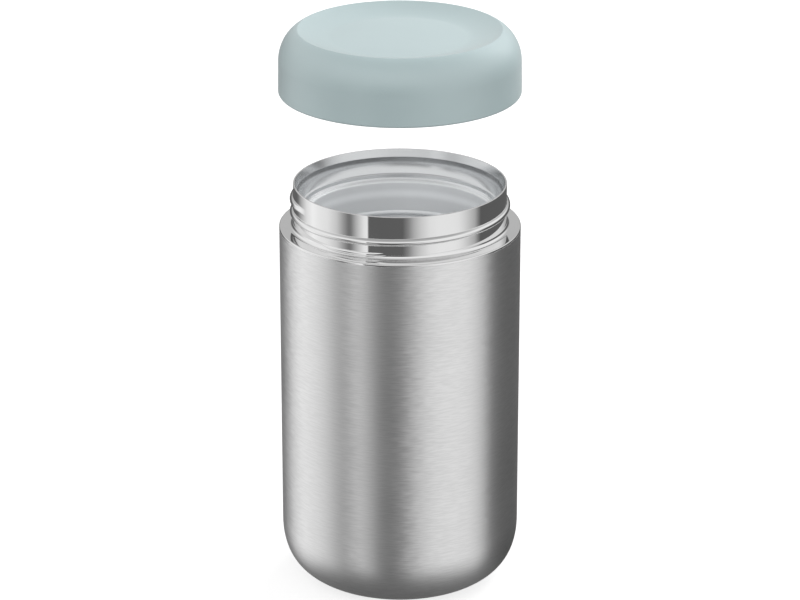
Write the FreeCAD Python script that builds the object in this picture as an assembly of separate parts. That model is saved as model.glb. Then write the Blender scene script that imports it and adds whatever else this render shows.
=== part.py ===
import FreeCAD, Part
import math
import os

# Insulated food jar: a double-walled steel jar with a screw-on lid held above it, in millimetres.
# The jar stands on z = 0 with its axis on Z. The lid is drawn lifted off, and screws down along Z to close.

# Jar outside
body_radius = 46.5
ledge_height = 144.8
ledge_round = 0.9
steel_sheet = 0.5
corner_width = 15.5
corner_height = 22.2
corner_upper_pull = 13.05
corner_lower_pull = 10.0
corner_foot_slope = 14.3

# Neck and its rolled thread
ledge_width = 5.5
neck_height = 16.9
neck_flare = 1.8
neck_flange_depth = 5.0
rim_round = 0.2
thread_lead = 5.1
jar_thread_depth = 1.35
jar_thread_half_width = 1.3
jar_thread_top_drop = 5.8
jar_thread_top_angle = 208.5
jar_thread_turns = 1.25
run_out_low_rise = 1.1
run_out_turns = 0.05
run_out_share = 0.35
thread_fade_angle = 12.0

# Inner vessel, with sizes down from the rim
vessel_sheet = 0.4
vessel_corner = 14.0
base_gap = 4.0
lip_depth = 3.05
lip_edge = 0.1
lip_slope_in = 0.6
lip_weld_depth = 1.2
cove_in = 1.4
cove_depth = 9.2
seat_step_in = 0.5
seat_step_drop = 0.4
seat_slope_in = 0.3
seat_ledge_depth = 11.1
seat_foot_in = 1.5
seat_foot_rise = 1.4
bead_depth = 25.1
bead_height = 2.2
bead_proud = 0.6

# Base
base_ring_width = 2.2
base_recess = 2.1
base_bend = 0.7
seal_cup_radius = 4.0
seal_cup_height = 1.0
seal_hole_radius = 1.2
seal_bead_radius = 2.6
cover_gap = 0.3
cover_inset = 0.5
cover_flange = 0.5

# Parts sealed in the vacuum space
foil_thickness = 0.2
foil_low_margin = 4.0
foil_top_margin = 6.0
getter_radius = 4.0
getter_height = 2.0
getter_edge_gap = 3.8
getter_wall = 0.4

# Lid outside, with heights above the lid's lower edge
lid_inset = 0.25
lid_edge_round = 1.2
lid_draft = 0.15
lid_shoulder_width = 7.3
lid_shoulder_height = 12.55
lid_upper_pull = 6.4
lid_ridge_pull = 4.1
lid_ridge_slope = 22.0
lid_crown_gap = 0.25
lid_dish_depth = 3.2
lid_dish_slope_width = 13.0
lid_dish_edge_pull = 4.0
lid_dish_edge_drop = 1.6
lid_dish_flat_pull = 3.0
lid_wall = 1.6

# Lid inside
liner_wall = 1.5
liner_edge_inset = 1.0
liner_plate = 1.1
liner_neck_gap = 0.9
plug_gap = 1.9
plug_wall = 1.2
plug_bottom_height = 5.5
plug_round = 2.0
ring_thickness = 1.6
ring_gap = 0.3
ring_top_gap = 0.2
ring_seat_gap = 0.1
ring_edge = 0.4
keeper_proud = 0.7
keeper_half_height = 0.6
keeper_drop = 0.4
foam_gap = 0.3
lid_thread_gap = 0.5
lid_thread_root_half = 1.2
lid_thread_crest_half = 0.5
lid_thread_turns = 0.75
lid_thread_lead_in = 10.0

# How the lid sits and how far it is held above the jar
lid_seat_gap = 0.3
lid_raise = 53.0
closing_turns = 1.0

# Shares of a rib's section where its ends fade, and of the solder bead where it bulges
fade_shares = (0, 0.35, 0.7, 1)
fade_depth_loss = 0.9
fade_width_share = 0.5
solder_bulge = 0.9

# Radii and places worked out from the sizes above
foot_radius = body_radius - corner_width
neck_radius = body_radius - ledge_width
lip_radius = neck_radius - steel_sheet - vessel_sheet - lip_slope_in
cove_radius_in = lip_radius - cove_in
seat_ledge_radius = cove_radius_in - seat_step_in - seat_slope_in
vessel_radius = seat_ledge_radius - seat_foot_in
getter_offset = vessel_radius - vessel_corner - getter_edge_gap - getter_radius
lid_radius = body_radius - lid_inset
lid_shoulder_radius = lid_radius - lid_draft
lid_ridge_radius = lid_shoulder_radius - lid_shoulder_width
lid_dish_flat_radius = lid_ridge_radius - lid_dish_slope_width
plug_radius = cove_radius_in - plug_gap
rim_height = ledge_height + neck_height
seam_height = ledge_height - ledge_round
lid_closed_height = ledge_height + lid_seat_gap
lid_height = lid_closed_height + lid_raise
screw_travel = thread_lead * closing_turns
jar_thread_top = rim_height - jar_thread_top_drop
run_out_drop = neck_height - jar_thread_top_drop - run_out_low_rise
liner_outer = lid_shoulder_radius - lid_wall
liner_inner = liner_outer - liner_wall
liner_pocket = neck_radius + liner_neck_gap
rim_in_lid = rim_height - lid_closed_height
ring_low = rim_in_lid + ring_seat_gap
plate_low = ring_low + ring_thickness + ring_top_gap
plate_top = plate_low + liner_plate
cap_underside = plate_top + lid_crown_gap
lid_dish_height = cap_underside + lid_wall
lid_ridge_height = lid_dish_height + lid_dish_depth
lid_shoulder_start = lid_ridge_height - lid_shoulder_height
base_top = base_recess + steel_sheet
vessel_floor = base_top + base_gap + vessel_sheet


def point(radius, height):
    """A point of a turned outline, as radius from the axis and height."""
    return FreeCAD.Vector(radius, 0, height)


def line(start, end):
    """A straight stretch of an outline."""
    return Part.LineSegment(point(*start), point(*end)).toShape()


def arc(start, middle, end):
    """A round stretch of an outline."""
    return Part.Arc(point(*start), point(*middle), point(*end)).toShape()


def quarter(start, centre, end):
    """A quarter round from start to end about centre."""
    radius = math.hypot(start[0] - centre[0], start[1] - centre[1])
    across = (start[0] + end[0] - 2 * centre[0], start[1] + end[1] - 2 * centre[1])
    length = math.hypot(*across)
    middle = (centre[0] + across[0] * radius / length, centre[1] + across[1] * radius / length)
    return arc(start, middle, end)


def bow(start, start_pull, end_pull, end):
    """A free curve that leaves start towards start_pull and reaches end from end_pull."""
    curve = Part.BezierCurve()
    curve.setPoles([point(*start), point(*start_pull), point(*end_pull), point(*end)])
    return curve.toShape()


def turned(edges):
    """The solid that a closed outline sweeps when it is turned once about the axis."""
    face = Part.Face(Part.Wire(edges))
    solid = face.revolve(FreeCAD.Vector(0, 0, 0), FreeCAD.Vector(0, 0, 1), 360)
    return solid if solid.Volume > 0 else solid.reversed()


def polyline(points):
    """Straight stretches through the points."""
    return [line(a, b) for a, b in zip(points, points[1:])]


def body_shell():
    """The brushed outer sleeve, drawn round the lower corner to the foot."""
    slope = math.radians(corner_foot_slope)
    inner_radius = body_radius - steel_sheet
    foot = (foot_radius, 0)
    foot_pull = (foot_radius + corner_lower_pull * math.cos(slope), corner_lower_pull * math.sin(slope))
    inner_foot = (foot_radius, steel_sheet)
    inner_pull = (foot_pull[0] - steel_sheet * math.sin(slope), foot_pull[1] + steel_sheet * math.cos(slope))
    return turned([
        line((inner_radius, seam_height), (body_radius, seam_height)),
        line((body_radius, seam_height), (body_radius, corner_height)),
        bow((body_radius, corner_height), (body_radius, corner_height - corner_upper_pull), foot_pull, foot),
        line(foot, inner_foot),
        bow(inner_foot, inner_pull, (inner_radius, corner_height - corner_upper_pull),
            (inner_radius, corner_height)),
        line((inner_radius, corner_height), (inner_radius, seam_height)),
    ])


def thread_section(profile, angle, height):
    """A thread's section, set at an angle about the axis and a height."""
    wire = Part.Wire(profile)
    wire.rotate(FreeCAD.Vector(0, 0, 0), FreeCAD.Vector(0, 0, 1), angle)
    wire.translate(FreeCAD.Vector(0, 0, height))
    return wire


def round_thread_profile(share):
    """A rolled rib's section on the neck, at a share of its full depth."""
    root = neck_radius - steel_sheet / 2
    half = jar_thread_half_width * (fade_width_share + (1 - fade_width_share) * share)
    rise = steel_sheet / 2 + jar_thread_depth * share
    return [line((root, half), (root, -half)), arc((root, -half), (root + rise, 0), (root, half))]


def square_thread_profile(share):
    """A moulded rib's section inside the liner, at a share of its full depth."""
    root = liner_inner + liner_wall / 2
    reach = (liner_inner - neck_radius - lid_thread_gap) * share
    return polyline([
        (root, lid_thread_root_half),
        (root, -lid_thread_root_half),
        (liner_inner, -lid_thread_root_half),
        (liner_inner - reach, -lid_thread_crest_half),
        (liner_inner - reach, lid_thread_crest_half),
        (liner_inner, lid_thread_root_half),
        (root, lid_thread_root_half),
    ])


def thread_rib(profile, radius, low_angle, low_height, turns):
    """A helical rib that rises with the angle, with both ends faded into the wall."""
    helix = Part.makeHelix(thread_lead, thread_lead * turns, radius)
    path = Part.Wire(helix.Edges)
    path.rotate(FreeCAD.Vector(0, 0, 0), FreeCAD.Vector(0, 0, 1), low_angle)
    path.translate(FreeCAD.Vector(0, 0, low_height))
    rib = path.makePipeShell([thread_section(profile(1), low_angle, low_height)], True, True)
    high_angle = low_angle + 360 * turns
    high_height = low_height + thread_lead * turns
    ends = []
    for angle, height, way in ((low_angle, low_height, -1), (high_angle, high_height, 1)):
        sections = []
        for share in fade_shares:
            step = way * thread_fade_angle * share
            faded = profile(1 - fade_depth_loss * share ** 2)
            sections.append(thread_section(faded, angle + step, height + thread_lead * step / 360))
        ends.append(Part.makeLoft(sections, True, False))
    return [rib] + ends


def run_out_profile(share):
    """The section of the lower and shallower rib that runs out into the flare."""
    return round_thread_profile(run_out_share * share)


def jar_rib(profile, low_turns, turns):
    """A rib on the neck's helix, whose full part starts some turns from the thread's upper end."""
    low_angle = jar_thread_top_angle + 360 * low_turns
    low_height = jar_thread_top + thread_lead * low_turns
    return thread_rib(profile, neck_radius, low_angle, low_height, turns)


def threaded_neck():
    """The polished shoulder and neck, with the thread rolled into it and a flange inside the shell."""
    shell_inside = body_radius - steel_sheet
    flange_inside = shell_inside - steel_sheet
    flange_low = seam_height - neck_flange_depth
    neck_inside = neck_radius - steel_sheet
    ledge_edge = body_radius - ledge_round
    ledge_under = ledge_height - steel_sheet
    flare_foot = neck_radius + neck_flare
    flare_top = ledge_height + neck_flare
    rim_edge = neck_radius - rim_round
    rim_low = rim_height - rim_round
    bend_round = ledge_round - steel_sheet
    bend_start = flange_inside - bend_round
    bend_end = ledge_under - bend_round
    sheet = turned([
        line((flange_inside, flange_low), (shell_inside, flange_low)),
        line((shell_inside, flange_low), (shell_inside, seam_height)),
        line((shell_inside, seam_height), (body_radius, seam_height)),
        quarter((body_radius, seam_height), (ledge_edge, seam_height), (ledge_edge, ledge_height)),
        line((ledge_edge, ledge_height), (flare_foot, ledge_height)),
        quarter((flare_foot, ledge_height), (flare_foot, flare_top), (neck_radius, flare_top)),
        line((neck_radius, flare_top), (neck_radius, rim_low)),
        quarter((neck_radius, rim_low), (rim_edge, rim_low), (rim_edge, rim_height)),
        line((rim_edge, rim_height), (neck_inside, rim_height)),
        line((neck_inside, rim_height), (neck_inside, flare_top)),
        quarter((neck_inside, flare_top), (flare_foot, flare_top), (flare_foot, ledge_under)),
        line((flare_foot, ledge_under), (bend_start, ledge_under)),
        quarter((bend_start, ledge_under), (bend_start, bend_end), (flange_inside, bend_end)),
        line((flange_inside, bend_end), (flange_inside, flange_low)),
    ])
    fade_turns = thread_fade_angle / 360
    low_turns = -(jar_thread_turns + fade_turns)
    run_out_low = fade_turns - run_out_drop / thread_lead
    ribs = jar_rib(round_thread_profile, low_turns, jar_thread_turns)
    ribs += jar_rib(run_out_profile, run_out_low, run_out_turns)
    inside = turned([
        line((0, flange_low), (flare_foot, flange_low)),
        line((flare_foot, flange_low), (flare_foot, ledge_under)),
        quarter((flare_foot, ledge_under), (flare_foot, flare_top), (neck_inside, flare_top)),
        line((neck_inside, flare_top), (neck_inside, rim_height)),
        line((neck_inside, rim_height), (0, rim_height)),
        line((0, rim_height), (0, flange_low)),
    ])
    return sheet.fuse(ribs).cut(inside).removeSplitter()


def vessel_wall(offset):
    """The inner vessel's outline from the lip to the floor's centre, moved outwards by offset."""
    lip = (lip_radius + offset, rim_height - lip_depth)
    cove_end = (cove_radius_in + offset, rim_height - cove_depth)
    cove_drop = cove_depth - lip_depth
    cove_round = (cove_in ** 2 + cove_drop ** 2) / (2 * cove_in)
    half_turn = math.asin(cove_drop / cove_round) / 2
    middle_in = cove_round * (1 - math.cos(half_turn))
    cove_middle = (lip[0] - middle_in, lip[1] - cove_round * math.sin(half_turn))
    step = (cove_end[0] - seat_step_in, cove_end[1] - seat_step_drop)
    seat = (seat_ledge_radius + offset, rim_height - seat_ledge_depth)
    wall = vessel_radius + offset
    seat_foot = (wall, seat[1] - seat_foot_rise)
    bead_high = (wall, rim_height - bead_depth + bead_height / 2)
    bead_low = (wall, rim_height - bead_depth - bead_height / 2)
    bead_top = (wall - bead_proud, rim_height - bead_depth)
    floor = vessel_floor - offset
    corner = vessel_corner + offset
    corner_high = (wall, floor + corner)
    corner_low = (wall - corner, floor)
    return [
        arc(lip, cove_middle, cove_end),
        line(cove_end, step),
        line(step, seat),
        line(seat, seat_foot),
        line(seat_foot, bead_high),
        arc(bead_high, bead_top, bead_low),
        line(bead_low, corner_high),
        quarter(corner_high, (corner_low[0], corner_high[1]), corner_low),
        line(corner_low, (0, floor)),
    ]


def inner_vessel():
    """The food vessel: a sloping lip, a stepped sealing seat, a fill-line bead and a round floor."""
    neck_inside = neck_radius - steel_sheet
    lip_low = rim_height - lip_depth
    weld_low = rim_height - lip_weld_depth
    inside = vessel_wall(0)
    outside = vessel_wall(vessel_sheet)
    lip = [
        line((lip_radius, lip_low), (neck_inside - lip_edge, rim_height)),
        line((neck_inside - lip_edge, rim_height), (neck_inside, rim_height)),
        line((neck_inside, rim_height), (neck_inside, weld_low)),
        line((neck_inside, weld_low), (lip_radius + vessel_sheet, lip_low)),
    ]
    floor = [line((0, vessel_floor), (0, vessel_floor - vessel_sheet))]
    return turned(inside + floor + outside[::-1] + lip)


def base_plate():
    """The pressed steel base: a foot ring, a recess and a small cup that holds the vacuum seal."""
    ring_inner = foot_radius - base_ring_width
    recess_radius = ring_inner - steel_sheet
    top = base_top
    cup_top = base_recess + seal_cup_height
    return turned(polyline([
        (foot_radius, steel_sheet), (foot_radius, 0), (ring_inner + base_bend, 0),
    ]) + [
        quarter((ring_inner + base_bend, 0), (ring_inner + base_bend, base_bend), (ring_inner, base_bend)),
    ] + polyline([
        (ring_inner, base_bend),
        (ring_inner, base_recess),
        (seal_cup_radius, base_recess),
        (seal_cup_radius, cup_top),
        (seal_hole_radius, cup_top),
        (seal_hole_radius, cup_top + steel_sheet),
        (seal_cup_radius + steel_sheet, cup_top + steel_sheet),
        (seal_cup_radius + steel_sheet, top),
        (ring_inner + steel_sheet, top),
        (ring_inner + steel_sheet, steel_sheet),
        (foot_radius, steel_sheet),
    ]))


def vacuum_seal():
    """The solder bead that closes the pump-out hole."""
    cup_top = base_recess + seal_cup_height
    bead_low = base_recess + seal_cup_height / 4
    return turned([
        line((0, cup_top + steel_sheet), (seal_hole_radius, cup_top + steel_sheet)),
        line((seal_hole_radius, cup_top + steel_sheet), (seal_hole_radius, cup_top)),
        line((seal_hole_radius, cup_top), (seal_bead_radius, cup_top)),
        bow((seal_bead_radius, cup_top), (seal_bead_radius * solder_bulge, bead_low),
            (seal_bead_radius / 2, bead_low), (0, bead_low)),
        line((0, bead_low), (0, cup_top + steel_sheet)),
    ])


def base_cover():
    """The flat steel disc with an upturned edge that hides the recess."""
    radius = foot_radius - base_ring_width - cover_gap
    low = cover_inset
    return turned(polyline([
        (0, low), (radius - cover_flange, low),
    ]) + [
        quarter((radius - cover_flange, low), (radius - cover_flange, low + cover_flange),
                (radius, low + cover_flange)),
    ] + polyline([
        (radius, low + cover_flange),
        (radius, base_recess),
        (radius - steel_sheet, base_recess),
        (radius - steel_sheet, low + steel_sheet),
        (0, low + steel_sheet),
        (0, low),
    ]))


def reflective_foil():
    """The foil wrapped on the vessel's straight wall, below the bead."""
    inside = vessel_radius + vessel_sheet
    low = vessel_floor + vessel_corner + foil_low_margin
    high = rim_height - bead_depth - bead_height / 2 - foil_top_margin
    outside = inside + foil_thickness
    return turned(polyline([(inside, low), (outside, low), (outside, high), (inside, high), (inside, low)]))


def getter():
    """The small open cup that soaks up stray gas, fixed under the vessel's floor."""
    under_floor = vessel_floor - vessel_sheet
    low = FreeCAD.Vector(getter_offset, 0, under_floor - getter_height)
    cup = Part.makeCylinder(getter_radius, getter_height, low)
    hollow = Part.makeCylinder(getter_radius - getter_wall, getter_height - getter_wall, low)
    pellet = Part.makeCylinder(getter_radius - getter_wall, getter_height / 2 - getter_wall,
                               low + FreeCAD.Vector(0, 0, getter_height / 2))
    return cup.cut(hollow).fuse(pellet).removeSplitter()


def lid_cap():
    """The moulded outer cap: a round shoulder, a raised ridge and a shallow dish on top."""
    slope = math.radians(lid_ridge_slope)
    ridge = (lid_ridge_radius, lid_ridge_height)
    ridge_pull = (ridge[0] + lid_ridge_pull * math.cos(slope), ridge[1] - lid_ridge_pull * math.sin(slope))
    shoulder = (lid_shoulder_radius, lid_shoulder_start)
    shoulder_pull = (lid_shoulder_radius, lid_shoulder_start + lid_upper_pull)
    dish = lid_dish_height
    dish_wall_pull = (lid_ridge_radius - lid_dish_edge_pull, lid_ridge_height - lid_dish_edge_drop)
    dish_flat_pull = (lid_dish_flat_radius + lid_dish_flat_pull, dish)
    wall_in = lid_wall * math.sin(slope)
    wall_down = lid_wall * math.cos(slope)
    inner_ridge = (ridge[0] - wall_in, ridge[1] - wall_down)
    inner_ridge_pull = (ridge_pull[0] - wall_in, ridge_pull[1] - wall_down)
    inner_pull = (liner_outer, lid_shoulder_start + lid_upper_pull - lid_wall / 2)
    edge_centre = (lid_radius - lid_edge_round, lid_edge_round)
    return turned([
        line((liner_outer, 0), (edge_centre[0], 0)),
        quarter((edge_centre[0], 0), edge_centre, (lid_radius, lid_edge_round)),
        line((lid_radius, lid_edge_round), shoulder),
        bow(shoulder, shoulder_pull, ridge_pull, ridge),
        bow(ridge, dish_wall_pull, dish_flat_pull, (lid_dish_flat_radius, dish)),
        line((lid_dish_flat_radius, dish), (0, dish)),
        line((0, dish), (0, cap_underside)),
        line((0, cap_underside), (plug_radius, cap_underside)),
        line((plug_radius, cap_underside), inner_ridge),
        bow(inner_ridge, inner_ridge_pull, inner_pull, (liner_outer, lid_shoulder_start)),
        line((liner_outer, lid_shoulder_start), (liner_outer, 0)),
    ])


def lid_liner():
    """The inner moulding: the threaded skirt, the plate over the rim and the hollow plug."""
    thread_clear = jar_thread_top + jar_thread_half_width + ring_gap - lid_closed_height
    narrow = thread_clear + liner_inner - liner_pocket
    top_outer = liner_pocket + liner_plate / 4
    keeper = ring_low - keeper_drop - keeper_half_height
    inside = plug_radius - plug_wall
    plug_floor = plug_bottom_height + plug_wall
    skirt = turned(polyline([
        (inside, cap_underside),
        (inside, plug_floor),
        (0, plug_floor),
        (0, plug_bottom_height),
        (plug_radius - plug_round, plug_bottom_height),
    ]) + [
        quarter((plug_radius - plug_round, plug_bottom_height),
                (plug_radius - plug_round, plug_bottom_height + plug_round),
                (plug_radius, plug_bottom_height + plug_round)),
        line((plug_radius, plug_bottom_height + plug_round), (plug_radius, keeper - keeper_half_height)),
        arc((plug_radius, keeper - keeper_half_height), (plug_radius + keeper_proud, keeper),
            (plug_radius, keeper + keeper_half_height)),
    ] + polyline([
        (plug_radius, keeper + keeper_half_height),
        (plug_radius, plate_low),
        (liner_pocket, plate_low),
        (liner_pocket, narrow),
        (liner_inner, thread_clear),
        (liner_inner, liner_edge_inset),
        (liner_outer, liner_edge_inset),
        (liner_outer, lid_shoulder_start),
        (top_outer, plate_top),
        (plug_radius, plate_top),
        (plug_radius, cap_underside),
        (inside, cap_underside),
    ]))
    raised = lid_closed_height + screw_travel
    low_angle = jar_thread_top_angle + lid_thread_lead_in + thread_fade_angle
    lead_in_rise = thread_lead * (lid_thread_lead_in + thread_fade_angle) / 360
    low_height = jar_thread_top - thread_lead / 2 + lead_in_rise - raised
    ribs = thread_rib(square_thread_profile, liner_inner, low_angle, low_height, lid_thread_turns)
    return skirt.fuse(ribs).removeSplitter()


def seal_ring():
    """The silicone ring that closes on the rim, loose round the plug above its keeper bead."""
    inside = plug_radius + ring_gap
    outside = liner_pocket - ring_gap
    low = ring_low
    high = ring_low + ring_thickness
    edge = ring_edge
    return turned([
        line((inside + edge, low), (outside - edge, low)),
        quarter((outside - edge, low), (outside - edge, low + edge), (outside, low + edge)),
        line((outside, low + edge), (outside, high - edge)),
        quarter((outside, high - edge), (outside - edge, high - edge), (outside - edge, high)),
        line((outside - edge, high), (inside + edge, high)),
        quarter((inside + edge, high), (inside + edge, high - edge), (inside, high - edge)),
        line((inside, high - edge), (inside, low + edge)),
        quarter((inside, low + edge), (inside + edge, low + edge), (inside + edge, low)),
    ])


def lid_foam():
    """The foam disc in the hollow plug, with room above it for the lid's screw travel."""
    radius = plug_radius - plug_wall - foam_gap
    low = plug_bottom_height + plug_wall + foam_gap
    high = cap_underside - screw_travel - foam_gap
    return turned(polyline([(0, low), (radius, low), (radius, high), (0, high), (0, low)]))


def lifted(shape):
    """A lid piece, moved from the lid's own heights to where the lid is held."""
    moved = shape.copy()
    moved.translate(FreeCAD.Vector(0, 0, lid_height))
    return moved


pieces = {
    "body_shell": body_shell(),
    "threaded_neck": threaded_neck(),
    "inner_vessel": inner_vessel(),
    "base_plate": base_plate(),
    "base_cover": base_cover(),
    "vacuum_seal": vacuum_seal(),
    "reflective_foil": reflective_foil(),
    "getter": getter(),
    "lid_cap": lifted(lid_cap()),
    "lid_liner": lifted(lid_liner()),
    "seal_ring": lifted(seal_ring()),
    "lid_foam": lifted(lid_foam()),
}

os.makedirs("parts", exist_ok=True)
for name, shape in pieces.items():
    if not shape.isValid() or shape.Volume <= 0:
        raise ValueError(name + " is not a sound solid")
    shape.exportStep("parts/" + name + ".step")
    print(name, len(shape.Solids), round(shape.Volume, 1), shape.BoundBox)
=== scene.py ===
"""Looks of the insulated food jar: steel walls, a polished screw neck and a matte lid held above it.

Lengths in the outlines are millimetres and become metres when a mesh is made.
"""
import bmesh
import bpy
import math
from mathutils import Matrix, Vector


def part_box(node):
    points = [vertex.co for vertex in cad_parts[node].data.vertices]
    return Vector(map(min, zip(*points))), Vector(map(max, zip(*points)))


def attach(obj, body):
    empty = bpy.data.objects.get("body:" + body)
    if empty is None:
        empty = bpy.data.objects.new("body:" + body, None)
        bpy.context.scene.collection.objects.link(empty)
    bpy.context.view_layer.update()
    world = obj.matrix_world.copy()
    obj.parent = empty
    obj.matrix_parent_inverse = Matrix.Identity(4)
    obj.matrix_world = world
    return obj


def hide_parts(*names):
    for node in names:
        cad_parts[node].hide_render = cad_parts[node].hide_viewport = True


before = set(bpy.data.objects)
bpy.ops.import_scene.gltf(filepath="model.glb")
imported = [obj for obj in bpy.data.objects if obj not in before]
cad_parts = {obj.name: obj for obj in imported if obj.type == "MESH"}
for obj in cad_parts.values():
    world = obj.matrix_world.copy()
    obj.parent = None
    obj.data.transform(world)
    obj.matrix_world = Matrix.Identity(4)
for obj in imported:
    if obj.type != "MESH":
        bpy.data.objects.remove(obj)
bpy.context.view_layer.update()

MM = 0.001

# Corners of the pieces' boxes, read from the frame
body_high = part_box("body_shell")[1] / MM
neck_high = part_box("threaded_neck")[1] / MM
vessel_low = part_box("inner_vessel")[0] / MM
lid_low, lid_high = (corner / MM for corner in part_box("lid_cap"))
ring_low, ring_high = (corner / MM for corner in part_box("seal_ring"))
cover_low, cover_high = (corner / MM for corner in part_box("base_cover"))
plate_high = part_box("base_plate")[1] / MM

# Jar outline
sheet = 0.5
body_radius = body_high.x
seam = body_high.z
ledge_round = 0.9
ledge = seam + ledge_round
rim = neck_high.z
neck_radius = 41.0
neck_flare = 1.8
rim_round = 0.2
foot_radius = plate_high.x
corner_height = 22.2
corner_upper_pull = 13.05
corner_lower_pull = 10.0
corner_foot_slope = math.radians(14.3)
flange_depth = 5.0
shell_edge_round = 0.08
hidden_edge_round = 0.05
sheet_edge_round = 0.02
weld_gap = 0.02
wall_top_margin = 1.0
wall_low_margin = 0.5

# Thread that the neck and the liner share
thread_lead = 5.1
thread_depth = 1.35
thread_half_width = 1.35
thread_top_drop = 5.8
thread_top_angle = 208.5
thread_turns = 1.25
thread_fade = 12.0
thread_pitch_steps = 60
rib_roundness = 0.6
flare_steps = 18
thread_room = 1.0
wall_reach = 0.05
run_out_low_rise = 1.1
run_out_turns = 0.05
run_out_share = 0.35

# Vessel outline, with depths down from the rim
vessel_sheet = 0.4
vessel_radius = 35.8
vessel_corner = 14.0
vessel_floor = vessel_low.z + vessel_sheet
lip_depth = 3.05
lip_edge = 0.1
lip_edge_round = 0.03
lip_slope_in = 0.6
lip_round = 0.2
lip_weld_depth = 1.2
cove_radius_in = 38.1
cove_depth = 9.2
cove_back_round = 0.5
seat_step_in = 0.5
seat_step_down = 0.4
seat_step_round = 0.12
seat_ledge_radius = 37.3
seat_ledge_depth = 11.1
seat_ledge_round = 0.3
seat_foot_depth = 12.5
seat_foot_round = 0.6
bead_depth = 25.1
bead_height = 2.2
bead_proud = 0.6
bead_round = 1.2
bead_foot_round = 0.4

# Base
foot_ring_width = 2.2
foot_ring_round = 0.7
well_radius = 4.0
well_rise = 1.0
pump_hole_radius = 1.2
pressed_round = 0.2
hole_round = 0.1
cover_ring_middle = 16.0
cover_ring_foot_half = 2.0
cover_ring_top_half = 1.0
cover_ring_rise = 0.35
cover_ring_widening = 0.2
cover_ring_round = 1.5
cover_ring_back_round = 1.0
cover_edge_round = 0.5

# Lid outline, with heights above the lid's lower edge
lid_radius = lid_high.x
lid_edge_round = 1.2
lid_shoulder_radius = 46.1
lid_shoulder_start = 12.1
lid_upper_pull = 6.4
lid_ridge_pull = 4.1
lid_ridge_radius = 38.8
lid_ridge_height = lid_high.z - lid_low.z
lid_ridge_slope = math.radians(22.0)
lid_ridge_round = 0.5
lid_dish_depth = 3.2
lid_dish_flat_radius = 25.8
lid_dish_edge_pull = 4.0
lid_dish_edge_drop = 1.6
lid_dish_flat_pull = 3.0
skirt_low = 2.5
skirt_inset = 0.02
skirt_top_margin = 0.4
lid_wall = 1.6
closed_gap = 0.3
lid_raise = lid_low.z - ledge - closed_gap

# Liner and ring, with heights above the lid's lower edge
liner_wall = 1.5
liner_outer = lid_shoulder_radius - lid_wall
liner_inner = liner_outer - liner_wall
liner_low = 1.0
liner_thread_low = 1.4
liner_thread_span = 9.5
liner_thread_depth = 1.5
liner_thread_half_width = 1.25
liner_thread_turns = 0.75
liner_thread_lead_in = 10.0
liner_clear_height = 13.0
pocket_gap = 0.9
plate_sheet = 1.1
plate_edge_out = 0.3
plug_radius = 36.2
plug_wall = 1.2
plug_low = 5.5
plug_round = 2.0
plug_inner_round = 1.0
keeper_drop = 1.0
keeper_half = 0.6
keeper_proud = 0.7
keeper_round = 0.5
ring_top_gap = 0.2
ring_plug_gap = 0.3
ring_round = 0.4
ring_groove_inner = 39.4
ring_groove_outer = 41.2
ring_groove_slope = 0.4
ring_groove_depth = 0.25
ring_groove_round = 0.3
ring_groove_edge_round = 0.1
ring_lip_round = 0.15

# Fineness of the meshes
turn_steps = 256
arc_step = math.radians(9)
wall_rows = 24
skirt_rows = 8
cove_steps = 14
lid_curve_steps = 40
hidden_curve_steps = 12
support_gap = 0.15
long_stretch = 5 * support_gap
corner_share = 0.48
on_axis = 1e-6

# Waves of each pattern in a metre, along x, y and z
brush_hair = (220.0, 220.0, 2600.0)
brush_line = (110.0, 110.0, 1400.0)
brush_patch = (14.0, 14.0, 30.0)
steel_cloud = (60.0, 60.0, 60.0)
moulding_cloud = (24.0, 24.0, 40.0)
rubber_cloud = (90.0, 90.0, 90.0)
floor_speck = (400.0, 400.0, 400.0)
foam_cell_count = 900.0
noise_low = 0.3
noise_high = 0.7


# Outlines and turned meshes

def bow(start, start_pull, end_pull, end, count=28):
    """Points on a free curve from start to end, as (radius, height, corner round)."""
    points = []
    for step in range(count + 1):
        t = step / count
        weights = ((1 - t) ** 3, 3 * t * (1 - t) ** 2, 3 * t * t * (1 - t), t ** 3)
        corners = (start, start_pull, end_pull, end)
        points.append(tuple(sum(w * c[axis] for w, c in zip(weights, corners)) for axis in (0, 1)) + (0,))
    return points


def steps(start, end, count):
    """Points at even steps on a straight stretch, both ends with it."""
    return [
        (start[0] + (end[0] - start[0]) * k / count, start[1] + (end[1] - start[1]) * k / count, 0)
        for k in range(count + 1)
    ]


def rounded(points):
    """The closed outline through (radius, height, corner round) points, with each corner rounded."""
    rings = []
    for index, (radius, height, fillet) in enumerate(points):
        here = Vector((radius, height))
        if not fillet:
            rings.append(here)
            continue
        before = Vector(points[index - 1][:2]) - here
        after = Vector(points[(index + 1) % len(points)][:2]) - here
        half = before.angle(after) / 2
        reach = min(fillet / math.tan(half), before.length * corner_share, after.length * corner_share)
        size = reach * math.tan(half)
        centre = here + (before.normalized() + after.normalized()).normalized() * (size / math.sin(half))
        first = here + before.normalized() * reach - centre
        last = here + after.normalized() * reach - centre
        sweep = first.angle_signed(last)
        count = max(2, math.ceil(abs(sweep) / arc_step))
        for step in range(count + 1):
            angle = -sweep * step / count
            turned_arm = Vector((
                first.x * math.cos(angle) - first.y * math.sin(angle),
                first.x * math.sin(angle) + first.y * math.cos(angle),
            ))
            rings.append(centre + turned_arm)
    return rings


def supported(rings):
    """The outline with an extra ring close to each end of a long stretch, which keeps its shading flat."""
    result = []
    for here, there in zip(rings, rings[1:] + rings[:1]):
        result.append(here)
        span = there - here
        if span.length > long_stretch:
            result.append(here + span.normalized() * support_gap)
            result.append(there - span.normalized() * support_gap)
    return result


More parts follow.
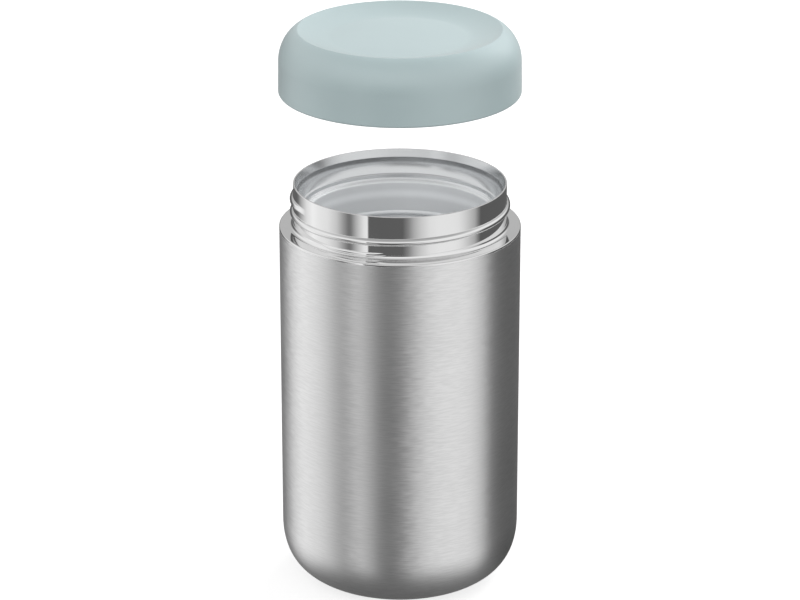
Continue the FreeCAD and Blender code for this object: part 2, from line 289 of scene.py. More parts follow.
def turned(name, points, finish):
    """A closed mesh swept by an outline once round the axis."""
    rings = supported(rounded(points))
    mesh = bpy.data.meshes.new(name)
    work = bmesh.new()
    loops = []
    for ring in rings:
        if ring.x < on_axis:
            loops.append([work.verts.new((0, 0, ring.y * MM))])
            continue
        loops.append([
            work.verts.new((
                ring.x * MM * math.cos(2 * math.pi * k / turn_steps),
                ring.x * MM * math.sin(2 * math.pi * k / turn_steps),
                ring.y * MM,
            ))
            for k in range(turn_steps)
        ])
    for low, high in zip(loops, loops[1:] + loops[:1]):
        for k in range(turn_steps):
            following = (k + 1) % turn_steps
            corners = [low[k % len(low)], low[following % len(low)]]
            corners += [high[following % len(high)], high[k % len(high)]]
            corners = list(dict.fromkeys(corners))
            if len(corners) > 2:
                work.faces.new(corners)
    bmesh.ops.recalc_face_normals(work, faces=work.faces)
    for face in work.faces:
        face.smooth = True
    work.to_mesh(mesh)
    work.free()
    mesh.materials.append(finish)
    piece = bpy.data.objects.new(name, mesh)
    bpy.context.scene.collection.objects.link(piece)
    return piece


# Node helpers

class Nodes:
    """A node tree with short calls for what the finishes and rules here need."""

    def __init__(self, tree):
        self.tree = tree

    def add(self, kind, **settings):
        node = self.tree.nodes.new(kind)
        for key, value in settings.items():
            setattr(node, key, value)
        return node

    def join(self, source, target):
        self.tree.links.new(source, target)

    def feed(self, socket, value):
        if isinstance(value, bpy.types.NodeSocket):
            self.join(value, socket)
        else:
            socket.default_value = value

    def sum(self, operation, first, second=0.0, clamp=False):
        node = self.add("ShaderNodeMath", operation=operation, use_clamp=clamp)
        self.feed(node.inputs[0], first)
        self.feed(node.inputs[1], second)
        return node.outputs[0]

    def ramp(self, value, low, high, out_low=0.0, out_high=1.0, kind="SMOOTHSTEP"):
        node = self.add("ShaderNodeMapRange", interpolation_type=kind)
        for socket, given in zip(node.inputs, (value, low, high, out_low, out_high)):
            self.feed(socket, given)
        return node.outputs[0]

    def stretched(self, noise, low, high):
        """A noise's middle values, run from low to high."""
        return self.ramp(noise, noise_low, noise_high, low, high)

    def noise(self, vector, waves, detail=2.0, roughness=0.5):
        mapping = self.add("ShaderNodeMapping")
        self.join(vector, mapping.inputs["Vector"])
        mapping.inputs["Scale"].default_value = waves
        node = self.add("ShaderNodeTexNoise")
        self.join(mapping.outputs[0], node.inputs["Vector"])
        node.inputs["Scale"].default_value = 1.0
        node.inputs["Detail"].default_value = detail
        node.inputs["Roughness"].default_value = roughness
        return node.outputs["Fac"]

    def tint(self, amount, low, high):
        """A colour that goes from low to high with the amount, each a colour or a socket."""
        node = self.add("ShaderNodeMix", data_type="RGBA")
        self.join(amount, node.inputs["Factor"])
        self.feed(node.inputs[6], low)
        self.feed(node.inputs[7], high)
        return node.outputs[2]


def finish_named(name):
    """A new material with its nodes, shader and object coordinates."""
    finish = bpy.data.materials.new(name)
    finish.use_nodes = True
    nodes = Nodes(finish.node_tree)
    shader = finish.node_tree.nodes["Principled BSDF"]
    place = nodes.add("ShaderNodeTexCoord").outputs["Object"]
    return finish, nodes, shader, place


def grey(value, green=1.0, blue=1.0):
    return (value, value * green, value * blue, 1.0)


# Finishes

def brushed_steel(name, bright, roughness, spread, sway):
    """Steel brushed round the jar: each fine line leans its reflection a little to one side or the other."""
    hair_share = 0.7
    tone_low, tone_high = 0.34, 0.66
    lean_low, lean_high = 0.2, 0.8
    dark, light = bright * 0.945, bright * 1.04
    unevenness = 0.015
    finish, nodes, shader, place = finish_named(name)
    hair = nodes.noise(place, brush_hair, detail=1.0, roughness=0.6)
    line = nodes.noise(place, brush_line)
    patch = nodes.noise(place, brush_patch)
    hair_part = nodes.sum("MULTIPLY", hair, hair_share)
    grain = nodes.sum("ADD", hair_part, nodes.sum("MULTIPLY", line, 1 - hair_share))
    tone = nodes.ramp(grain, tone_low, tone_high)
    nodes.join(nodes.tint(tone, grey(dark), grey(light)), shader.inputs["Base Color"])
    soft = nodes.stretched(patch, roughness - unevenness, roughness + unevenness)
    nodes.join(soft, shader.inputs["Roughness"])
    shader.inputs["Metallic"].default_value = 1.0
    shader.inputs["Anisotropic"].default_value = spread
    shader.inputs["Anisotropic Rotation"].default_value = 0.25
    around = nodes.add("ShaderNodeTangent", direction_type="RADIAL", axis="Z").outputs[0]
    nodes.join(around, shader.inputs["Tangent"])
    lean = nodes.ramp(grain, lean_low, lean_high, -sway, sway, kind="LINEAR")
    sideways = nodes.add("ShaderNodeVectorMath", operation="SCALE")
    nodes.join(around, sideways.inputs[0])
    nodes.join(lean, sideways.inputs["Scale"])
    leaned = nodes.add("ShaderNodeVectorMath", operation="ADD")
    nodes.join(nodes.add("ShaderNodeNewGeometry").outputs["Normal"], leaned.inputs[0])
    nodes.join(sideways.outputs[0], leaned.inputs[1])
    straight = nodes.add("ShaderNodeVectorMath", operation="NORMALIZE")
    nodes.join(leaned.outputs[0], straight.inputs[0])
    nodes.join(straight.outputs[0], shader.inputs["Normal"])
    return finish


def polished_steel(name, bright, roughness):
    """Polished steel with a little unevenness in its tone and shine."""
    dull_share = 0.97
    unevenness = 0.05
    finish, nodes, shader, place = finish_named(name)
    cloud = nodes.noise(place, steel_cloud, detail=3.0)
    colour = nodes.tint(nodes.stretched(cloud, 0.0, 1.0), grey(bright * dull_share), grey(bright))
    nodes.join(colour, shader.inputs["Base Color"])
    shine = nodes.stretched(cloud, roughness * (1 - unevenness), roughness * (1 + unevenness))
    nodes.join(shine, shader.inputs["Roughness"])
    shader.inputs["Metallic"].default_value = 1.0
    return finish


def vessel_steel(name, satin, polish, tint):
    """Electropolished steel: bright lip and seat, a painted shade band between (a darker strip in the colour
    just under the lip), and a satin wall with a painted highlight ring (a lighter strip in its colour).
    """
    polish_edge_depth = seat_ledge_depth + 0.5
    polish_fade = 2.0
    # Painted shade: a darker strip in the colour just under the lip, standing in for the shade in the crease
    # there
    painted_shade_band_depth = lip_depth + 1.85
    painted_shade_band_fade = 1.1
    painted_shade_band_top_fade = 0.2
    painted_shade_tone = 0.45
    # Painted highlight: a lighter ring in the satin wall's colour, standing in for a band of light on the wall
    painted_light_ring_low_depth = 18.3
    painted_light_ring_high_depth = 15.7
    painted_light_ring_fade = 2.6
    painted_light_tone = 1.22
    satin_roughness = 0.3
    polish_roughness = 0.17
    satin_metal = 0.2
    polish_metal = 0.8
    unevenness = 0.05
    finish, nodes, shader, place = finish_named(name)
    cloud = nodes.noise(place, steel_cloud, detail=3.0)
    parts = nodes.add("ShaderNodeSeparateXYZ")
    nodes.join(place, parts.inputs[0])
    height = parts.outputs[2]

    def above(depth, fade):
        """From 0 to 1 over a fade round a depth under the rim."""
        return nodes.ramp(height, (rim - depth - fade / 2) * MM, (rim - depth + fade / 2) * MM)

    polished = above(polish_edge_depth, polish_fade)
    # Mask of the painted shade band under the lip
    painted_shade_band_top = above(lip_depth, painted_shade_band_top_fade)
    band = nodes.sum("SUBTRACT", above(painted_shade_band_depth, painted_shade_band_fade), painted_shade_band_top, clamp=True)
    # Mask of the painted highlight ring on the wall
    painted_light_ring_top = above(painted_light_ring_high_depth, painted_light_ring_fade)
    ring = nodes.sum("SUBTRACT", above(painted_light_ring_low_depth, painted_light_ring_fade), painted_light_ring_top, clamp=True)
    # The painted highlight ring lightens the wall's colour
    wall = nodes.tint(ring, grey(satin, *tint), grey(satin * painted_light_tone, *tint))
    steel = nodes.tint(polished, wall, grey(polish, *tint))
    # The painted shade band darkens the colour just under the lip
    nodes.join(nodes.tint(band, steel, grey(polish * painted_shade_tone, *tint)), shader.inputs["Base Color"])
    shine = nodes.ramp(polished, 0.0, 1.0, satin_roughness, polish_roughness, kind="LINEAR")
    patches = nodes.stretched(cloud, 1 - unevenness, 1 + unevenness)
    nodes.join(nodes.sum("MULTIPLY", shine, patches), shader.inputs["Roughness"])
    metal = nodes.ramp(polished, 0.0, 1.0, satin_metal, polish_metal, kind="LINEAR")
    nodes.join(metal, shader.inputs["Metallic"])
    return finish


def moulded_plastic(name, colour, roughness, grain_waves, grain_height):
    """Matte moulded plastic with a fine grain, faint flow clouding and a pale bloom seen edge-on."""
    dark_share, light_share = 0.975, 1.02
    unevenness = 0.04
    finish, nodes, shader, place = finish_named(name)
    shader.inputs["Specular IOR Level"].default_value = 1.0
    shader.inputs["Sheen Weight"].default_value = 0.3
    shader.inputs["Sheen Roughness"].default_value = 0.35
    cloud = nodes.noise(place, moulding_cloud, detail=3.0)
    dark = tuple(part * dark_share for part in colour) + (1.0,)
    light = tuple(part * light_share for part in colour) + (1.0,)
    nodes.join(nodes.tint(nodes.stretched(cloud, 0.0, 1.0), dark, light), shader.inputs["Base Color"])
    grain = nodes.noise(place, (grain_waves, grain_waves, grain_waves))
    shine = nodes.stretched(grain, roughness - unevenness, roughness + unevenness)
    nodes.join(shine, shader.inputs["Roughness"])
    bump = nodes.add("ShaderNodeBump")
    bump.inputs["Strength"].default_value = 0.5
    bump.inputs["Distance"].default_value = grain_height * MM
    nodes.join(grain, bump.inputs["Height"])
    nodes.join(bump.outputs[0], shader.inputs["Normal"])
    return finish


def silicone_rubber(name):
    """Pale silicone with a soft sheen and a little light carried through it."""
    light_reach = 2.0 * MM
    finish, nodes, shader, place = finish_named(name)
    cloud = nodes.noise(place, rubber_cloud)
    nodes.join(nodes.tint(cloud, grey(0.66), grey(0.74)), shader.inputs["Base Color"])
    nodes.join(nodes.stretched(cloud, 0.42, 0.5), shader.inputs["Roughness"])
    shader.inputs["Subsurface Weight"].default_value = 0.3
    shader.inputs["Subsurface Radius"].default_value = (light_reach, light_reach, light_reach)
    return finish


def foam_cells(name):
    """Off-white rigid foam with small closed cells."""
    cell_middle = (0.82, 0.81, 0.76, 1)
    cell_wall = (0.9, 0.89, 0.85, 1)
    cell_dent = 0.2 * MM
    finish, nodes, shader, place = finish_named(name)
    cells = nodes.add("ShaderNodeTexVoronoi")
    nodes.join(place, cells.inputs["Vector"])
    cells.inputs["Scale"].default_value = foam_cell_count
    shade = nodes.ramp(cells.outputs["Distance"], 0.1, 0.7)
    nodes.join(nodes.tint(shade, cell_middle, cell_wall), shader.inputs["Base Color"])
    shader.inputs["Roughness"].default_value = 0.9
    bump = nodes.add("ShaderNodeBump")
    bump.inputs["Distance"].default_value = cell_dent
    nodes.join(cells.outputs["Distance"], bump.inputs["Height"])
    nodes.join(bump.outputs[0], shader.inputs["Normal"])
    return finish


body_steel = brushed_steel("brushed_body_steel", bright=0.81, roughness=0.37, spread=0.5, sway=0.042)
base_satin = brushed_steel("satin_base_steel", bright=0.62, roughness=0.45, spread=0.5, sway=0.03)
neck_polish = polished_steel("polished_neck_steel", bright=0.80, roughness=0.05)
vessel_polish = vessel_steel("polished_vessel_steel", satin=0.79, polish=0.66, tint=(1.02, 1.035))
seal_solder = polished_steel("dull_solder", bright=0.42, roughness=0.45)
wall_foil = polished_steel("bright_foil", bright=0.86, roughness=0.2)
getter_grey = polished_steel("getter_grey", bright=0.36, roughness=0.6)
lid_plastic = moulded_plastic(
    "lid_plastic", colour=(0.468, 0.58, 0.592), roughness=0.38, grain_waves=3500.0, grain_height=0.03)
liner_plastic = moulded_plastic(
    "liner_plastic", colour=(0.62, 0.66, 0.66), roughness=0.42, grain_waves=5000.0, grain_height=0.01)
ring_silicone = silicone_rubber("ring_silicone")
plug_foam = foam_cells("plug_foam")


# The thread's rule

def thread_rule():
    """Raises a helical rib on a turned wall: a point's place says how far it lies from the rib's middle."""
    tree = bpy.data.node_groups.new("thread_rule", "GeometryNodeTree")
    tree.interface.new_socket("Wall", in_out="INPUT", socket_type="NodeSocketGeometry")
    for size in ("Wall radius", "Flare", "Flare top", "Lead", "Rise", "Half width", "Top angle", "Top height",
                 "Turns", "Fade angle"):
        tree.interface.new_socket(size, in_out="INPUT", socket_type="NodeSocketFloat")
    tree.interface.new_socket("Finish", in_out="INPUT", socket_type="NodeSocketMaterial")
    tree.interface.new_socket("Threaded wall", in_out="OUTPUT", socket_type="NodeSocketGeometry")
    nodes = Nodes(tree)
    given = nodes.add("NodeGroupInput").outputs
    place = nodes.add("ShaderNodeSeparateXYZ")
    nodes.join(nodes.add("GeometryNodeInputPosition").outputs[0], place.inputs[0])
    x, y, z = place.outputs
    radius = nodes.sum("SQRT", nodes.sum("ADD", nodes.sum("MULTIPLY", x, x), nodes.sum("MULTIPLY", y, y)))
    turn = 2 * math.pi
    per_turn = nodes.sum("DIVIDE", turn, given["Lead"])
    drop = nodes.sum("MULTIPLY", nodes.sum("SUBTRACT", given["Top height"], z), per_turn)
    behind = nodes.sum("SUBTRACT", given["Top angle"], nodes.sum("ARCTAN2", y, x))
    whole = nodes.sum("ROUND", nodes.sum("DIVIDE", nodes.sum("SUBTRACT", drop, behind), turn))
    along = nodes.sum("ADD", behind, nodes.sum("MULTIPLY", whole, turn))
    away = nodes.sum("ABSOLUTE", nodes.sum("DIVIDE", nodes.sum("SUBTRACT", along, drop), per_turn))
    aside = nodes.sum("DIVIDE", away, given["Half width"])
    inner = nodes.sum("SUBTRACT", 1.0, nodes.sum("MULTIPLY", aside, aside), clamp=True)
    section = nodes.sum("POWER", inner, rib_roundness)
    length = nodes.sum("MULTIPLY", given["Turns"], turn)
    fade = given["Fade angle"]
    from_top = nodes.ramp(nodes.sum("DIVIDE", nodes.sum("ADD", along, fade), fade), 0.0, 1.0)
    past = nodes.sum("SUBTRACT", nodes.sum("ADD", length, fade), along)
    from_low = nodes.ramp(nodes.sum("DIVIDE", past, fade), 0.0, 1.0)
    flare = given["Flare"]
    below = nodes.sum("MAXIMUM", nodes.sum("SUBTRACT", given["Flare top"], z), 0.0)
    squares = nodes.sum("SUBTRACT", nodes.sum("MULTIPLY", flare, flare), nodes.sum("MULTIPLY", below, below))
    spread = nodes.sum("SUBTRACT", flare, nodes.sum("SQRT", nodes.sum("MAXIMUM", squares, 0.0)))
    surface = nodes.sum("ADD", given["Wall radius"], spread)
    off_wall = nodes.sum("ABSOLUTE", nodes.sum("SUBTRACT", radius, surface))
    on_wall = nodes.sum("LESS_THAN", off_wall, wall_reach * MM)
    ends = nodes.sum("MULTIPLY", from_top, from_low)
    height = nodes.sum("MULTIPLY", nodes.sum("ABSOLUTE", given["Rise"]), nodes.sum("MULTIPLY", section, ends))
    proud = nodes.sum("MAXIMUM", nodes.sum("SUBTRACT", height, spread), 0.0)
    rise = nodes.sum("MULTIPLY", nodes.sum("SIGN", given["Rise"]), proud)
    share = nodes.sum("DIVIDE", nodes.sum("MULTIPLY", rise, on_wall), radius)
    offset = nodes.add("ShaderNodeCombineXYZ")
    nodes.join(nodes.sum("MULTIPLY", x, share), offset.inputs[0])
    nodes.join(nodes.sum("MULTIPLY", y, share), offset.inputs[1])
    move = nodes.add("GeometryNodeSetPosition")
    nodes.join(given["Wall"], move.inputs["Geometry"])
    nodes.join(offset.outputs[0], move.inputs["Offset"])
    real = nodes.add("GeometryNodeRealizeInstances")
    nodes.join(move.outputs[0], real.inputs[0])
    coat = nodes.add("GeometryNodeSetMaterial")
    nodes.join(real.outputs[0], coat.inputs["Geometry"])
    nodes.join(given["Finish"], coat.inputs["Material"])
    nodes.join(coat.outputs[0], nodes.add("NodeGroupOutput").inputs[0])
    return tree


def threaded(piece, tree, sizes):
    """The piece with the rule applied to it, as a plain mesh."""
    modifier = piece.modifiers.new("thread", "NODES")
    modifier.node_group = tree
    sockets = {item.name: item.identifier for item in tree.interface.items_tree if item.in_out == "INPUT"}
    for name, value in sizes.items():
        modifier[sockets[name]] = value
    bpy.context.view_layer.update()
    made = bpy.data.meshes.new_from_object(piece.evaluated_get(bpy.context.evaluated_depsgraph_get()))
    piece.modifiers.clear()
    piece.data = made
    return piece


# Jar pieces

def body_shell():
    """The brushed sleeve with its large round lower corner."""
    inner = body_radius - sheet
    foot_out, foot_up = math.cos(corner_foot_slope), math.sin(corner_foot_slope)
    foot_pull = (foot_radius + corner_lower_pull * foot_out, corner_lower_pull * foot_up)
    inner_pull = (foot_pull[0] - sheet * foot_up, foot_pull[1] + sheet * foot_out)
    corner_pull = corner_height - corner_upper_pull
    outline = [(inner, seam, hidden_edge_round), (body_radius, seam, shell_edge_round)]
    wall_low = (body_radius, corner_height + wall_low_margin)
    outline += steps((body_radius, seam - wall_top_margin), wall_low, wall_rows)
    outline += bow((body_radius, corner_height), (body_radius, corner_pull), foot_pull, (foot_radius, 0))
    outline += bow((foot_radius, sheet), inner_pull, (inner, corner_pull), (inner, corner_height),
                   hidden_curve_steps)
    return turned("body_shell_skin", outline, body_steel)


def threaded_neck(rule):
    """The polished shoulder, neck and rim, with the rolled thread raised by its rule."""
    shell_inside = body_radius - sheet
    flange_inside = shell_inside - sheet
    neck_inside = neck_radius - sheet
    flange_low = seam - flange_depth
    flare_top = ledge + neck_flare
    thread_high = rim - thread_top_drop + thread_half_width + thread_room
    thread_rows = round((thread_high - flare_top) / thread_lead * thread_pitch_steps)
    flare = [
        (neck_radius + neck_flare * (1 - math.cos(math.pi / 2 * k / flare_steps)),
         flare_top - neck_flare * math.sin(math.pi / 2 * k / flare_steps), 0)
        for k in range(flare_steps, 0, -1)
    ]
    outline = [
        (flange_inside, flange_low, 0), (shell_inside, flange_low, 0),
        (shell_inside, seam + weld_gap, 0), (body_radius, seam + weld_gap, hidden_edge_round),
        (body_radius, ledge, ledge_round),
    ]
    outline += flare + steps((neck_radius, flare_top), (neck_radius, thread_high), thread_rows)
    outline += [
        (neck_radius, rim, rim_round), (neck_inside, rim, sheet_edge_round),
        (neck_inside, ledge - sheet, neck_flare + sheet), (flange_inside, ledge - sheet, ledge_round - sheet),
    ]
    piece = turned("neck_polished", outline, neck_polish)
    run_out_drop = rim - thread_top_drop - ledge - run_out_low_rise
    run_out_start = run_out_drop / thread_lead - run_out_turns - thread_fade / 360
    run_out_half = thread_half_width * (1 + run_out_share) / 2
    for start, turns, rise, half in (
        (thread_fade / 360, thread_turns, thread_depth, thread_half_width),
        (run_out_start, run_out_turns, thread_depth * run_out_share, run_out_half),
    ):
        piece = threaded(piece, rule, {
            "Wall radius": neck_radius * MM,
            "Flare": neck_flare * MM,
            "Flare top": flare_top * MM,
            "Lead": thread_lead * MM,
            "Rise": rise * MM,
            "Half width": half * MM,
            "Top angle": math.radians(thread_top_angle - 360 * start),
            "Top height": (rim - thread_top_drop - thread_lead * start) * MM,
            "Turns": turns,
            "Fade angle": math.radians(thread_fade),
            "Finish": neck_polish,
        })
    return piece


def inner_vessel():
    """The food vessel, from the thin lip and the stepped seat to the round floor."""
    lip_out = neck_radius - sheet
    lip_in = lip_out - vessel_sheet - lip_slope_in
    lip_low = rim - lip_depth
    cove_low = rim - cove_depth
    cove_in = lip_in - cove_radius_in
    cove_round = (cove_in ** 2 + (lip_low - cove_low) ** 2) / (2 * cove_in)
    cove_turn = math.asin((lip_low - cove_low) / cove_round)
    cove = [
        (lip_in - cove_round * (1 - math.cos(cove_turn * k / cove_steps)),
         lip_low - cove_round * math.sin(cove_turn * k / cove_steps), 0)
        for k in range(1, cove_steps)
    ]
    bead = rim - bead_depth
    inside = [(lip_out - lip_edge, rim, lip_edge_round), (lip_in, lip_low, lip_round)] + cove + [
        (cove_radius_in, cove_low, seat_step_round),
        (cove_radius_in - seat_step_in, cove_low - seat_step_down, seat_step_round),
        (seat_ledge_radius, rim - seat_ledge_depth, seat_ledge_round),
        (vessel_radius, rim - seat_foot_depth, seat_foot_round),
        (vessel_radius, bead + bead_height / 2, bead_foot_round),
        (vessel_radius - bead_proud, bead, bead_round),
        (vessel_radius, bead - bead_height / 2, bead_foot_round),
        (vessel_radius, vessel_floor, vessel_corner),
        (0, vessel_floor, 0),
    ]
    outside = [
        (0, vessel_floor - vessel_sheet, 0),
        (vessel_radius + vessel_sheet, vessel_floor - vessel_sheet, vessel_corner + vessel_sheet),
        (vessel_radius + vessel_sheet, rim - seat_foot_depth, seat_ledge_round),
        (cove_radius_in + vessel_sheet, cove_low, cove_back_round),
        (lip_in + vessel_sheet, lip_low, cove_back_round),
        (lip_out, rim - lip_weld_depth, lip_round),
        (lip_out, rim, sheet_edge_round),
    ]
    return turned("vessel_polished", inside + outside, vessel_polish)


def base_plate():
    """The pressed base with its foot ring, its recess and the well round the pump-out hole."""
    ring_inner = foot_radius - foot_ring_width
    recess = plate_high.z - well_rise - sheet
    return turned("base_plate_pressed", [
        (foot_radius, 0, shell_edge_round), (ring_inner, 0, foot_ring_round),
        (ring_inner, recess, pressed_round), (well_radius, recess, pressed_round),
        (well_radius, recess + well_rise, pressed_round), (pump_hole_radius, recess + well_rise, hole_round),
        (pump_hole_radius, plate_high.z, hole_round), (well_radius + sheet, plate_high.z, pressed_round),
        (well_radius + sheet, recess + sheet, pressed_round),
        (ring_inner + sheet, recess + sheet, pressed_round), (ring_inner + sheet, sheet, pressed_round),
        (foot_radius, sheet, shell_edge_round),
    ], base_satin)


def pressed_ring(level, widening, corner):
    """One face of the base cover's pressed ring, from its inner foot to its outer foot."""
    foot, top = cover_ring_foot_half + widening, cover_ring_top_half + widening
    return [
        (cover_ring_middle - foot, level, corner),
        (cover_ring_middle - top, level + cover_ring_rise, corner),
        (cover_ring_middle + top, level + cover_ring_rise, corner),
        (cover_ring_middle + foot, level, corner),
    ]


def base_cover():
    """The flat disc that closes the recess, with one pressed ring for stiffness."""
    radius = cover_high.x
    low, high = cover_low.z, cover_high.z
    outline = [(0, low, 0)] + pressed_ring(low, 0, cover_ring_round)
    outline += [
        (radius, low, cover_edge_round), (radius, high, hole_round), (radius - sheet, high, hole_round),
        (radius - sheet, low + sheet, pressed_round),
    ]
    outline += pressed_ring(low + sheet, cover_ring_widening, cover_ring_back_round)[::-1]
    outline.append((0, low + sheet, 0))
    return turned("base_cover_disc", outline, base_satin)


# Lid pieces

def at_lid(points):
    """Points given above the lid's lower edge, moved to where the lid is held."""
    return [(radius, height + lid_low.z, fillet) for radius, height, fillet in points]


def lid_cap():
    """The moulded cap: straight skirt, full round shoulder, crisp ridge and dished top."""
    sine, cosine = math.sin(lid_ridge_slope), math.cos(lid_ridge_slope)
    ridge = (lid_ridge_radius, lid_ridge_height)
    ridge_pull = (ridge[0] + lid_ridge_pull * cosine, ridge[1] - lid_ridge_pull * sine)
    dish = lid_ridge_height - lid_dish_depth
    inside = lid_shoulder_radius - lid_wall
    underside = dish - lid_wall
    shoulder = bow((lid_shoulder_radius, lid_shoulder_start),
                   (lid_shoulder_radius, lid_shoulder_start + lid_upper_pull), ridge_pull, ridge,
                   lid_curve_steps)
    dish_curve = bow(ridge, (lid_ridge_radius - lid_dish_edge_pull, lid_ridge_height - lid_dish_edge_drop),
                     (lid_dish_flat_radius + lid_dish_flat_pull, dish), (lid_dish_flat_radius, dish),
                     lid_curve_steps)
    inner = bow((ridge[0] - lid_wall * sine, ridge[1] - lid_wall * cosine),
                (ridge_pull[0] - lid_wall * sine, ridge_pull[1] - lid_wall * cosine),
                (inside, lid_shoulder_start + lid_upper_pull - lid_wall / 2), (inside, lid_shoulder_start),
                hidden_curve_steps)
    outline = [(inside, 0, pressed_round), (lid_radius, 0, lid_edge_round)]
    outline += steps((lid_radius - skirt_inset, skirt_low),
                     (lid_shoulder_radius, lid_shoulder_start - skirt_top_margin), skirt_rows)
    outline += shoulder[:-1] + [ridge + (lid_ridge_round,)] + dish_curve[1:]
    outline += [(0, dish, 0), (0, underside, 0), (plug_radius, underside, 0)] + inner
    return turned("lid_cap_moulded", at_lid(outline), lid_plastic)


def lid_liner(rule):
    """The inner moulding with its thread, plug and keeper bead."""
    pocket = neck_radius + pocket_gap
    underside = lid_ridge_height - lid_dish_depth - lid_wall
    plate = ring_high.z - lid_low.z + ring_top_gap
    keeper = ring_low.z - lid_low.z - keeper_drop
    rows = round(liner_thread_span / thread_lead * thread_pitch_steps)
    plug_inside = plug_radius - plug_wall
    plug = [
        (plug_inside, underside, 0), (plug_inside, plug_low + plug_wall, plug_inner_round),
        (0, plug_low + plug_wall, 0), (0, plug_low, 0), (plug_radius, plug_low, plug_round),
        (plug_radius, keeper - keeper_half, hole_round), (plug_radius + keeper_proud, keeper, keeper_round),
        (plug_radius, keeper + keeper_half, hole_round), (plug_radius, plate, pressed_round),
    ]
    thread_wall = steps((liner_inner, liner_clear_height), (liner_inner, liner_thread_low), rows)
    skirt = [
        (liner_inner, liner_low, pressed_round), (liner_outer, liner_low, hole_round),
        (liner_outer, lid_shoulder_start, pressed_round),
    ]
    outline = plug + [(pocket, plate, pressed_round)]
    outline += [(pocket, liner_clear_height + liner_inner - pocket, pressed_round)] + thread_wall + skirt
    outline += [
        (pocket + plate_edge_out, plate + plate_sheet, pressed_round), (plug_radius, plate + plate_sheet, 0),
        (plug_radius, underside, 0),
    ]
    piece = turned("lid_liner_moulded", at_lid(outline), liner_plastic)
    past_top = liner_thread_lead_in + thread_fade
    raised = lid_raise - thread_lead
    low_height = rim - thread_top_drop - thread_lead / 2 + thread_lead * past_top / 360 + raised
    return threaded(piece, rule, {
        "Wall radius": liner_inner * MM,
        "Flare": 0.0,
        "Flare top": 0.0,
        "Lead": thread_lead * MM,
        "Rise": -liner_thread_depth * MM,
        "Half width": liner_thread_half_width * MM,
        "Top angle": math.radians(thread_top_angle + past_top + 360 * liner_thread_turns),
        "Top height": (low_height + thread_lead * liner_thread_turns) * MM,
        "Turns": liner_thread_turns,
        "Fade angle": math.radians(thread_fade),
        "Finish": liner_plastic,
    })


def seal_ring():
    """The silicone ring, with a shallow groove in its lower face that leaves a soft lip on each side."""
    low, high = ring_low.z, ring_high.z
    inside, outside = plug_radius + ring_plug_gap, ring_high.x
    return turned("seal_ring_soft", [
        (inside, low, ring_round), (ring_groove_inner, low, ring_groove_edge_round),
        (ring_groove_inner + ring_groove_slope, low + ring_groove_depth, ring_groove_round),
        (ring_groove_outer, low + ring_groove_depth, ring_groove_edge_round), (outside, low, ring_lip_round),
        (outside, high, ring_round), (inside, high, ring_round),
    ], ring_silicone)


def lit_alone(piece):
    """Keeps a lid piece from shading or being mirrored in the jar, as the photograph shows neither."""
    piece.visible_glossy = False
    piece.visible_diffuse = False
    piece.visible_shadow = False


rule = thread_rule()
for piece, node, body, slot in (
    (body_shell(), "body_shell", "jar", "brushed_steel"),
    (threaded_neck(rule), "threaded_neck", "jar", "polished_steel"),
    (inner_vessel(), "inner_vessel", "jar", "vessel_steel"),
    (base_plate(), "base_plate", "jar", "base_steel"),
    (base_cover(), "base_cover", "jar", "base_steel"),
    (lid_cap(), "lid_cap", "lid", "lid_plastic"),
    (lid_liner(rule), "lid_liner", "lid", "liner_plastic"),
    (seal_ring(), "seal_ring", "ring", "silicone"),
):
    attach(piece, body)
    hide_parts(node)
    if body != "jar":
        lit_alone(piece)

for node, finish in (
    ("vacuum_seal", seal_solder), ("reflective_foil", wall_foil), ("getter", getter_grey),
    ("lid_foam", plug_foam),
):
    if node == "lid_foam":
        lit_alone(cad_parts[node])
    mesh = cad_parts[node].data
    mesh.materials.clear()
    mesh.materials.append(finish)


# Studio

# Panels round the jar, as (angle from the front towards the right, light): those that the neck mirrors,
# and those lower down that colour the body's wide blur
neck_panels = (
    (-180, 0.13), (-148, 0.13), (-142, 0.20), (-130, 0.58), (-120, 0.90), (-108, 1.08), (-98, 0.98),
    (-84, 0.91), (-72, 0.70), (-64, 0.41), (-57, 0.20), (-54, 0.22), (-46, 0.62), (-39, 0.94), (-35, 1.0),
    (-34, 0.13), (3, 0.13), (9, 0.27), (15, 0.50), (22, 0.70), (32, 0.90), (42, 0.95), (60, 0.95),
    (66, 0.92), (72, 0.82), (80, 0.65), (88, 0.48), (93, 0.25), (97, 0.12), (180, 0.12),
)
body_panels = (
    (-180, 0.10), (-148, 0.10), (-142, 0.20), (-130, 0.58), (-120, 0.90), (-108, 1.08), (-98, 0.98),
    (-84, 0.95), (-72, 0.83), (-64, 0.55), (-57, 0.32), (-54, 0.34), (-46, 0.66), (-39, 0.94), (-32, 0.98),
    (-25, 0.85), (-22, 0.09), (-4, 0.09), (1.5, 0.33), (7.5, 0.68), (15.5, 0.93), (27, 1.08), (42, 1.10),
    (56, 1.08), (78, 1.04), (84, 1.0), (90, 0.78), (95, 0.22), (99, 0.03), (180, 0.05),
)
ceiling_front = 1.0
ceiling_side = 1.0
ceiling_back = 0.55
zenith_light = 0.5
ground_light = 0.13

# Stretches over which one part of the studio gives way to the next, in degrees above the horizon
panel_change = (-20, -25)
ceiling_rise = (4, 16)
zenith_rise = (38, 66)
ground_fall = (-29, -46)

# Stretches over which the ceiling changes, as parts of a direction: towards the back, and to either side
ceiling_back_change = (-0.3, 0.6)
ceiling_side_change = (0.3, 0.7)

# Lamps and floor, in metres and watts
lamp_aim = (0, 0, 0.2)
floor_radius = 3.0
floor_drop = 0.0002
floor_glow = 0.72


